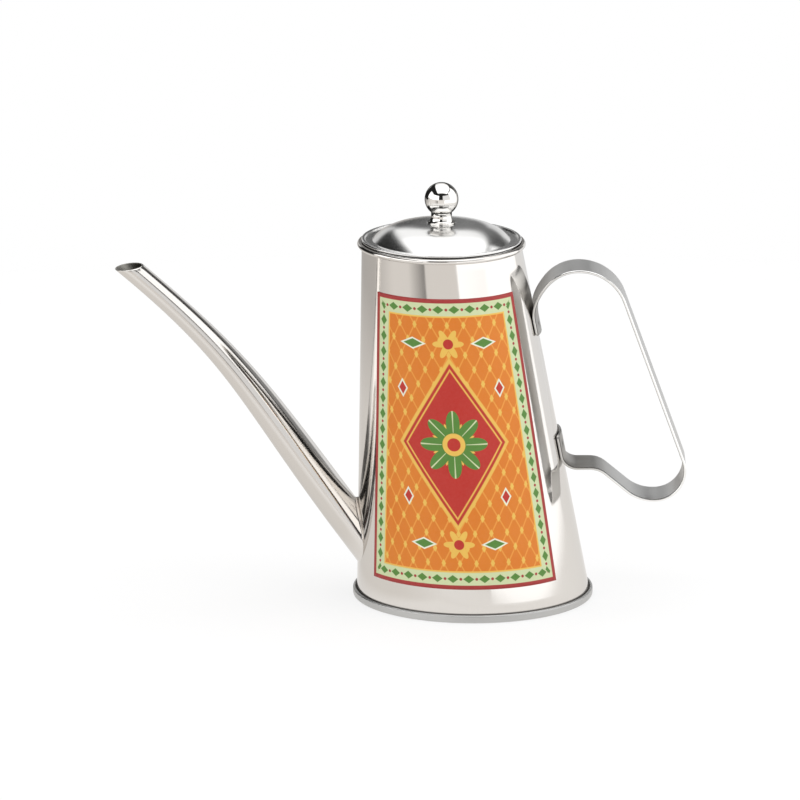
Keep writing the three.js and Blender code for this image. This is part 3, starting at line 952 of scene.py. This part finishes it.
class CRUET_OT_spout(bpy.types.Operator):
    """Oval tube on a Bezier curve, from a solder fillet on the wall to a slanted mouth"""

    bl_idname = "cruet.spout"
    bl_label = "Spout"

    def execute(self, context):
        spout = settings().spout
        half, sink = spout.sheet / 2, 0.0001
        turn = np.linspace(0.0, 2 * np.pi, OVAL_SIDES, endpoint=False)
        zero = np.zeros_like(turn)
        end = spout_line(np.array(1.0))[0]
        lip = np.array([-math.sin(spout.mouth_tilt), math.cos(spout.mouth_tilt)])

        def from_root(depth):
            def outside(u):
                return off_wall(spout_skin(u, turn, depth)) + sink

            return meet(outside, zero - 0.13, zero + 0.5)

        def to_mouth(depth, level):
            def above(u):
                points = spout_skin(u, turn, depth)
                return (points[..., [0, 2]] - end) @ lip - level

            return meet(above, zero + 0.7, zero + 1.2)

        first, last = from_root(-spout.fillet), to_mouth(0.0, -half)
        root_share = 0.03
        steps = [np.linspace(0, root_share, 15)[:-1], np.linspace(root_share, 1, 110)]
        u = first + (last - first) * np.concatenate(steps)[:, None]
        away = (u - first) * np.linalg.norm(spout_line(u)[1], axis=-1)
        near = np.clip(1.0 - away / spout.fillet, 0.0, 1.0)
        flare = spout.fillet * (1.0 - np.sqrt(1.0 - near * near))
        outer = spout_skin(u, turn, -flare)

        bend = np.linspace(0.0, np.pi, 9)[1:-1]
        lip_depth, lip_level = half - half * np.cos(bend), half * np.sin(bend) - half
        lip_u = np.array([to_mouth(*step) for step in zip(lip_depth, lip_level)])
        rolled = spout_skin(lip_u, turn, lip_depth[:, None])
        back, start = to_mouth(spout.sheet, -half), from_root(spout.sheet)
        inner_u = back + (start - back) * np.linspace(0, 1, 60)[:, None]
        inner = spout_skin(inner_u, turn, spout.sheet)
        points = np.concatenate([outer, rolled, inner])

        middle_speed = np.linalg.norm(spout_line(np.array(0.5))[1])
        edge = np.clip((bend / np.pi - 0.4) / 0.2, 0.0, 1.0)[:, None] + np.zeros_like(lip_u)
        fields = {
            "along": np.concatenate([u, lip_u, inner_u]) * middle_speed,
            "root": np.concatenate([near, np.zeros_like(lip_u), np.zeros_like(inner_u)]),
            "inside": np.concatenate([np.zeros_like(near), edge, np.ones_like(inner_u)]),
        }
        mesh = solid_mesh("spout_tube", points, grid_faces(*points.shape[:2]), fields)
        place("spout_tube", mesh, make_finish(spout_steel), "vessel", "polished_steel", "spout")
        return {"FINISHED"}


def handle_line():
    """The strap's outer face (x, z), from the upper tab round the loop to the lower tab.

    Each corner has a height, an outset from the wall and a bend that rounds it. Also gives the
    lengths of the two straight tabs.
    """
    handle, body = settings().handle, settings().body
    top = body.rim_height - handle.top_drop

    def corner(height, outset):
        wall = wall_radius(height) - body.rim_lean * wall_share(height) + handle.weld_gap
        return np.array([wall + outset, height])

    turns = (
        (top, 0.0, handle.top_inner_bend),
        (top, handle.top_outset, handle.top_outer_bend),
        (handle.low_height, handle.low_outset, handle.low_bend),
        (handle.low_height, handle.low_inner_outset, handle.low_inner_bend),
        (handle.arm_height, handle.arm_outset, handle.arm_bend),
        (handle.arm_height, 0.0, handle.tab_bend),
    )
    corners = np.array([
        corner(body.rim_height - handle.upper_tab_drop, 0.0),
        *(corner(height, outset) for height, outset, _ in turns),
        corner(handle.tab_top, 0.0),
    ])
    bends = [bend for _, _, bend in turns]

    def straight(end, near, far, bend):
        one, two = unit(near - end), unit(far - near)
        half_turn = math.acos(one @ two) / 2
        return np.linalg.norm(near - end) - bend * math.tan(half_turn)

    tabs = straight(*corners[:3], bends[0]), straight(*corners[:-4:-1], bends[-1])
    return rounded_line(corners, bends, degrees=2.0, hold=0.0), tabs


class CRUET_OT_handle(bpy.types.Operator):
    """Flat strap bent in a loop, its two tabs bowed to the wall and spot-welded"""

    bl_idname = "cruet.handle"
    bl_label = "Handle"

    def execute(self, context):
        handle = settings().handle
        line, (upper_tab, lower_tab) = handle_line()
        run = np.concatenate([[0.0], np.cumsum(np.linalg.norm(np.diff(line, axis=0), axis=1))])
        total = run[-1]
        tab, tint_and_shade_reach, tint_and_shade_fade = 0.012, 0.018, 0.016
        blunt, scorch_size = 0.97, 2.4 * handle.weld_size
        rounding = np.linspace(0, handle.edge, 6)[:-1]
        ends = np.concatenate([rounding, np.arange(handle.edge, tab, 0.0004)])
        loop = np.linspace(tab, total - tab, 300)
        along = np.concatenate([ends, loop, total - ends[::-1]])
        at = np.stack([np.interp(along, run, line[:, k]) for k in (0, 1)], axis=1)
        way = unit(np.gradient(at, along, axis=0))

        reach = np.minimum(along, total - along)
        past_upper = np.maximum(along - upper_tab, 0)
        past_lower = np.maximum(total - lower_tab - along, 0)
        bow = 1.0 - smoothstep(np.minimum(past_upper, past_lower) / handle.bow_fade)
        corner = np.clip(handle.corner - reach, 0.0, handle.corner)
        narrow = handle.corner - np.sqrt(handle.corner**2 - corner**2)
        half_width = handle.width / 2 - narrow
        thin = np.sqrt(1.0 - np.clip(1.0 - reach / handle.edge, 0.0, blunt) ** 2)

        span = np.linspace(-1.0, 1.0, 49)
        bend = np.linspace(0.0, np.pi, 11)[1:-1]
        flat = np.zeros_like(span)
        core = np.concatenate([span, np.ones_like(bend), span[::-1], -np.ones_like(bend)])
        edge = np.concatenate([flat, np.sin(bend), flat, -np.sin(bend)])
        lift = np.concatenate([flat - 1, -np.cos(bend), flat + 1, np.cos(bend)])
        straight_side = handle.thick / 2 - handle.edge
        deep = lift * handle.edge + np.sign(lift) * straight_side

        y = core * (half_width - handle.edge)[:, None] + edge * handle.edge
        welds = np.hypot(reach[:, None] - handle.weld_inset, np.abs(y) - handle.weld_spread)
        dent = handle.weld_depth * (1.0 - smoothstep(welds / handle.weld_size))
        depth = handle.thick / 2 + deep * thin[:, None] - dent * (lift > 0)
        radius = wall_radius(at[:, 1])[:, None]
        sag = bow[:, None] * (radius - np.sqrt(radius**2 - y**2))
        x = at[:, :1] + way[:, 1:] * depth - sag
        z = at[:, 1:] - way[:, :1] * depth
        points = np.stack([x, y, z], axis=-1)
        rows, columns = points.shape[:2]
        # weld: where the tabs are darkened, by heat tint and painted shade
        weld = 1.0 - smoothstep((reach - tint_and_shade_reach) / tint_and_shade_fade)
        fields = {
            "along": np.broadcast_to(along[:, None], (rows, columns)),
            "inner": np.broadcast_to((lift + 1.0) / 2, (rows, columns)),
            "weld": np.broadcast_to(weld[:, None], (rows, columns)),
            "scorch": 1.0 - smoothstep(welds / scorch_size),
        }
        mesh = solid_mesh("handle_band", points, capped_faces(rows, columns), fields)
        material = make_finish(strap_steel)
        place("handle_band", mesh, material, "vessel", "satin_steel", "handle_strap")
        return {"FINISHED"}


class CRUET_OT_label(bpy.types.Operator):
    """Printed film over the front of the cone, its lower edge turned a little to the spout"""

    bl_idname = "cruet.label"
    bl_label = "Label"

    def execute(self, context):
        label, body = settings().label, settings().body
        across = np.linspace(-1.0, 1.0, 121)
        up = np.linspace(0.0, 1.0, 97)[:, None]
        z = body.seam_height + label.base_margin
        z = z + (body.rim_height - label.rim_margin - z) * up
        turn = label.half_angle * across - label.lower_shift * (1.0 - up) - np.pi / 2

        def film(lift):
            radius = wall_radius(z) + lift
            x = lean_at(z) + radius * np.cos(turn)
            return np.stack(np.broadcast_arrays(x, radius * np.sin(turn), z), axis=-1)

        outer, inner = film(label.gap + label.thick), film(label.gap)
        points = np.concatenate([outer, inner[:, ::-1]], axis=1)
        flat = np.stack(np.broadcast_arrays((across + 1.0) / 2, up), axis=-1)
        uv = np.concatenate([flat, flat[:, ::-1]], axis=1)
        mesh = solid_mesh("front_label", points, capped_faces(*points.shape[:2]), uv=uv)
        place("front_label", mesh, make_finish(label_print), "vessel", "label_print", "label_film")
        return {"FINISHED"}


def lid_levels():
    """Radii and heights of the lid above the middle of the rim, worked out from the rim."""
    lid, body = settings().lid, settings().body
    mouth = body.rim_radius - body.sheet
    hem_low = body.curl_radius + lid.seat_gap
    hem_high = hem_low + 2 * lid.sheet + lid.hem_gap
    ledge = hem_high - lid.ledge_step
    return {
        "hem": mouth + lid.hem_overlap,
        "plug": mouth - lid.clearance,
        "hem_low": hem_low,
        "hem_high": hem_high,
        "ledge": ledge,
        "seat": ledge + lid.dome_rise - lid.seat_depth,
    }


def rim_middle():
    """Middle of the rim, where the lid is set out from."""
    body = settings().body
    return (-body.rim_lean, 0.0, body.rim_height)


class CRUET_OT_lid(bpy.types.Operator):
    """Domed lid with a ledge and a folded hem, and the plug ring under it"""

    bl_idname = "cruet.lid"
    bl_label = "Lid"

    def execute(self, context):
        lid = settings().lid
        levels = lid_levels()
        half = lid.sheet / 2
        ledge, seat = levels["ledge"] - half, levels["seat"] - half
        step, out = levels["plug"] - half, levels["hem"] - half
        recess_bend, dome_bend = 0.0002, 0.0003
        hem_bends = [0.00024, 0.00024, 0.00028, 0.00028]
        dome_radius = levels["plug"] - lid.ledge_width
        radius = np.linspace(lid.recess_radius, dome_radius, 60)
        fall = (radius / dome_radius) ** lid.dome_power
        dome = np.stack([radius, ledge + lid.dome_rise * (1.0 - fall)], axis=1)
        flat = [(lid.screw_hole, seat), (lid.recess_radius - recess_bend, seat)]
        hem = [
            (step, ledge),
            (step, levels["hem_high"] - half),
            (out, levels["hem_high"] - half),
            (out, levels["hem_low"] + half),
            (out - lid.hem_lap, levels["hem_low"] + half),
        ]
        corners = np.vstack([flat, dome, hem])
        bends = np.zeros(len(corners) - 2)
        bends[:2] = recess_bend
        bends[len(dome)] = dome_bend
        bends[len(dome) + 1:] = hem_bends
        centre = rounded_line(corners, bends, hold=0.05)
        mesh = turned("lid_top", sheet_outline(centre, lid.sheet), move=rim_middle())
        spun = make_finish(lid_steel)
        place("lid_top", mesh, spun, "lid", "lid_steel", "lid_dome")

        half = lid.ring_sheet / 2
        wall = levels["plug"] - half
        flange = levels["ledge"] - lid.sheet - lid.seat_gap - half
        corners = [
            (wall - lid.ring_flange, flange),
            (wall, flange),
            (wall, flange - lid.ring_depth),
        ]
        centre = rounded_line(corners, [0.0004])
        mesh = turned("lid_ring", sheet_outline(centre, lid.ring_sheet), move=rim_middle())
        place("lid_ring", mesh, spun, "lid", "lid_steel", "lid_skirt")
        return {"FINISHED"}


class CRUET_OT_knob(bpy.types.Operator):
    """Turned knob with a flared foot, a neck and a ball, and the finish of its screw and washer"""

    bl_idname = "cruet.knob"
    bl_label = "Knob"

    def execute(self, context):
        knob, lid = settings().knob, settings().lid
        edges = [0.0003, 0.0002, 0.00022, 0.00022]
        t = np.linspace(0.0, 1.0, 22)[:, None]
        foot = np.array([knob.foot_radius, knob.foot_thick])
        waist = np.array([knob.neck_radius, knob.neck_height / 2])
        neck_top = np.array([knob.neck_radius, knob.neck_height])
        neck = (1 - t) ** 2 * foot + 2 * t * (1 - t) * waist + t * t * neck_top
        under = math.degrees(math.acos(knob.neck_radius / knob.ball_radius))
        ball = arc((0.0, knob.ball_height), knob.ball_radius, -under, 90, 64)
        ball[-1, 0] = 0.0
        base = rounded_line(
            [
                (0.0, knob.hole_depth),
                (knob.hole_radius, knob.hole_depth),
                (knob.hole_radius, 0.0),
                (knob.foot_radius, 0.0),
                foot,
                neck[1],
            ],
            edges,
        )
        outline = np.vstack([base, neck[2:], ball])
        x, y, z = rim_middle()
        foot_level = z + lid_levels()["seat"] + lid.seat_gap
        mesh = turned("knob_ball", outline, on_axis=True, move=(x, y, foot_level), sides=160)
        place("knob_ball", mesh, make_finish(knob_chrome), "lid", "knob_chrome", "lid_knob")

        plated = make_finish(fastener_steel)
        for node in ("knob_screw", "knob_washer"):
            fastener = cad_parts[node]
            fastener.data.materials.clear()
            fastener.data.materials.append(plated)
        return {"FINISHED"}


# Stage


# Strength of each lamp box, its azimuth from and to, and its elevation from and to
LAMP_BOXES = (
    (0.9, 9.0, 64.0, 0.0, 33.0),
    (1.9, -73.0, -19.0, 3.0, 32.0),
    (1.9, -105.0, -75.0, 4.0, 36.0),
    (0.8, -172.0, -150.0, 3.0, 18.0),
    (0.3, 136.0, 158.0, 2.0, 20.0),
)


def studio_light(graph):
    """Colour and strength of the studio's light, and where it has a white backdrop.

    A dim room over a pale table has a wide box to the right, one overhead and the lamp boxes.
    Directions are azimuth from the camera's side, to the right, and elevation, in degrees. The
    box overhead lies on a plane, ahead and aside by shares of its height.
    """
    x, y, z = graph.parts(graph.add("ShaderNodeTexCoord", output="Generated"))
    azimuth = x.maths("ARCTAN2", -y) * math.degrees(1.0)
    elevation = z.maths("ARCSINE") * math.degrees(1.0)

    def span(value, low, high, soft):
        return (value - low).edge(soft) * (high - value).edge(soft)

    def box(left, right, low, high, soft=3.0):
        return span(azimuth, left, right, soft) * span(elevation, low, high, soft)

    height = z.most(0.02)
    ahead, aside = y / height, x / height
    back = 2.7 - 2.8 * aside.most(0.0)
    overhead = span(aside, -0.55, 0.86, 0.12)
    overhead = overhead * (ahead + 0.75).edge(0.25) * (back - ahead).edge(0.35)

    brink = 5.0 - 13.0 * span(azimuth, -156.0, -102.0, 8.0)
    brink = brink + 10.0 * span(azimuth, 154.0, 174.0, 6.0)
    table = (brink - elevation).edge(5.0)
    left_behind = (-95.0 - azimuth).edge(40.0)
    right_behind = (azimuth - 128.0).edge(6.0)
    rear = (azimuth - 163.0).edge(8.0)
    flag = (azimuth + 37.0).edge(26.0) * (-25.0 - azimuth).edge(1.5) * (1.0 - elevation).edge(2.0)
    pale = 0.88 - 0.3 * left_behind + 0.07 * right_behind - 0.12 * rear - 0.62 * flag
    shade = 0.02 + 0.13 * (azimuth - 145.0).edge(30.0)
    room = shade + (pale - shade) * table

    right_low = box(19.0, 128.0, -20.0, 3.0)
    right_high = (azimuth - 60.0).edge(6.0) * (129.0 - azimuth).edge(5.0)
    right_high = right_high * span(elevation, 0.0, 44.0, 3.0)
    lamps = 1.5 * right_low.most(right_high)
    lamps = lamps.most((1.25 + 0.65 * (0.8 - ahead).edge(0.5)) * overhead)
    for strength, *sides in LAMP_BOXES:
        lamps = lamps.most(strength * box(*sides))
    warm = table * (1.0 - right_low) * (1.0 - right_behind)
    backdrop = table * right_behind * (1.0 - rear)
    return graph.mix(warm, WHITE, (1.0, 0.96, 0.92)), room.most(lamps), backdrop


def light_world(world):
    """Studio light, and white for the camera and where metal and glass see the backdrop."""
    world.use_nodes = True
    graph = Graph(world.node_tree)
    colour, strength, backdrop = studio_light(graph)
    studio = graph.add("ShaderNodeBackground", None, {"Color": colour, "Strength": strength})
    white = graph.add("ShaderNodeBackground", None, {"Color": WHITE, "Strength": 1.0})
    seen = graph.seen_by("Is Camera Ray").most(backdrop * graph.seen_by(*SHOWN_RAYS))
    shown = graph.add("ShaderNodeMixShader", None, {0: seen, 1: studio, 2: white})
    graph.add("ShaderNodeOutputWorld", None, {"Surface": shown})


def floor_finish():
    """Pale table top with a faint mottle that fades out at its rim.

    The camera, metal and glass see it lightened, so that only a soft shadow shows on white.
    """
    finish, stage = settings().finish, settings().stage
    material = bpy.data.materials.new("table_top")
    material.use_nodes = True
    graph = Graph(material.node_tree)
    place = graph.place()
    x, y, _ = graph.parts(place)
    seen, shown = graph.seen_by("Is Camera Ray"), graph.seen_by(*SHOWN_RAYS)
    mottle = graph.noise(place, 6.0, 4.0, 0.6)
    radius = (x * x + y * y) ** 0.5
    # Painted light and shade that metal sees: the table is paler in front, beside the handle and
    # round the foot, darker behind
    front, handle_side = (-0.1 - y).edge(0.1), (x - 0.06).edge(0.06)
    round_foot = (0.13 - radius).edge(0.04) * (x + 0.062).edge(0.02)
    near = front.most(handle_side).most(round_foot)
    pale = graph.mix(near, finish.floor, finish.near_floor)
    pale = graph.mix(0.04 * mottle, pale, finish.floor)
    colour = graph.mix(seen, pale, (0.95, 0.95, 0.95))
    matt = graph.add("ShaderNodeBsdfDiffuse", None, {"Color": colour})
    glow = graph.mix(near, finish.sheen, finish.near_sheen)
    glow = graph.mix(seen, glow, WHITE)
    white = graph.add("ShaderNodeEmission", None, {"Color": glow, "Strength": 1.0})
    lighter = shown * (0.9 - 0.14 * seen)
    lightened = graph.add("ShaderNodeMixShader", None, {0: lighter, 1: matt, 2: white})
    clear = graph.add("ShaderNodeBsdfTransparent")
    fade = (radius - 0.75 * stage.floor_radius).edge(0.4 * stage.floor_radius)
    surface = graph.add("ShaderNodeMixShader", None, {0: fade, 1: lightened, 2: clear})
    graph.add("ShaderNodeOutputMaterial", None, {"Surface": surface})
    return material


class CRUET_OT_stage(bpy.types.Operator):
    """Round pale floor, studio light and the camera"""

    bl_idname = "cruet.stage"
    bl_label = "Stage"

    def execute(self, context):
        stage = settings().stage
        scene = context.scene
        sides, under_base = 96, -0.0002
        radius = np.concatenate([[0.0], np.geomspace(0.05, stage.floor_radius, 14)])
        points = revolve(np.stack([radius, np.full_like(radius, under_base)], axis=1), sides)
        mesh = bpy.data.meshes.new("floor")
        faces = grid_faces(len(radius), sides, join_rows=False)[:, ::-1]
        mesh.from_pydata(points.reshape(-1, 3).tolist(), [], faces.tolist())
        merge_points(mesh, closed=False)
        mesh.materials.append(floor_finish())
        floor = bpy.data.objects.new("floor", mesh)
        scene.collection.objects.link(floor)

        scene.world = scene.world or bpy.data.worlds.new("studio")
        light_world(scene.world)
        scene.view_settings.view_transform = "Standard"

        lens = bpy.data.cameras.new("camera")
        lens.sensor_width = 36.0
        lens.lens = lens.sensor_width * stage.distance / stage.view_width
        lens.clip_start, lens.clip_end = 0.1, 100.0
        camera = bpy.data.objects.new("camera", lens)
        back = stage.distance * math.cos(stage.elevation)
        up = stage.distance * math.sin(stage.elevation)
        camera.location = (-stage.aim_left, -back, stage.aim_height + up)
        camera.rotation_euler = (math.pi / 2 - stage.elevation, 0.0, 0.0)
        scene.collection.objects.link(camera)
        scene.camera = camera
        return {"FINISHED"}


class CRUET_PT_panel(bpy.types.Panel):
    """Buttons that build the cruet, and its sizes and finishes"""

    bl_idname = "CRUET_PT_panel"
    bl_label = "Oil Cruet"
    bl_space_type = "VIEW_3D"
    bl_region_type = "UI"
    bl_category = "Cruet"

    def draw(self, context):
        layout = self.layout
        for operator in OPERATORS:
            layout.operator(operator.bl_idname)
        for group in CruetSettings.__annotations__:
            box = layout.box()
            box.label(text=group.capitalize())
            sizes = getattr(context.scene.cruet, group)
            for name in sizes.__annotations__:
                box.prop(sizes, name)


OPERATORS = (
    CRUET_OT_body,
    CRUET_OT_base,
    CRUET_OT_spout,
    CRUET_OT_handle,
    CRUET_OT_label,
    CRUET_OT_lid,
    CRUET_OT_knob,
    CRUET_OT_stage,
)
CLASSES = (
    BodySizes,
    SpoutSizes,
    HandleSizes,
    LabelSizes,
    LidSizes,
    KnobSizes,
    Finishes,
    StageSizes,
    CruetSettings,
    *OPERATORS,
    CRUET_PT_panel,
)


def register():
    for kind in CLASSES:
        bpy.utils.register_class(kind)
    bpy.types.Scene.cruet = PointerProperty(type=CruetSettings)


def unregister():
    del bpy.types.Scene.cruet
    for kind in reversed(CLASSES):
        bpy.utils.unregister_class(kind)


def main():
    register()
    bpy.ops.cruet.body()
    bpy.ops.cruet.base()
    bpy.ops.cruet.spout()
    bpy.ops.cruet.handle()
    bpy.ops.cruet.label()
    bpy.ops.cruet.lid()
    bpy.ops.cruet.knob()
    bpy.ops.cruet.stage()


if __name__ == "__main__":
    main()
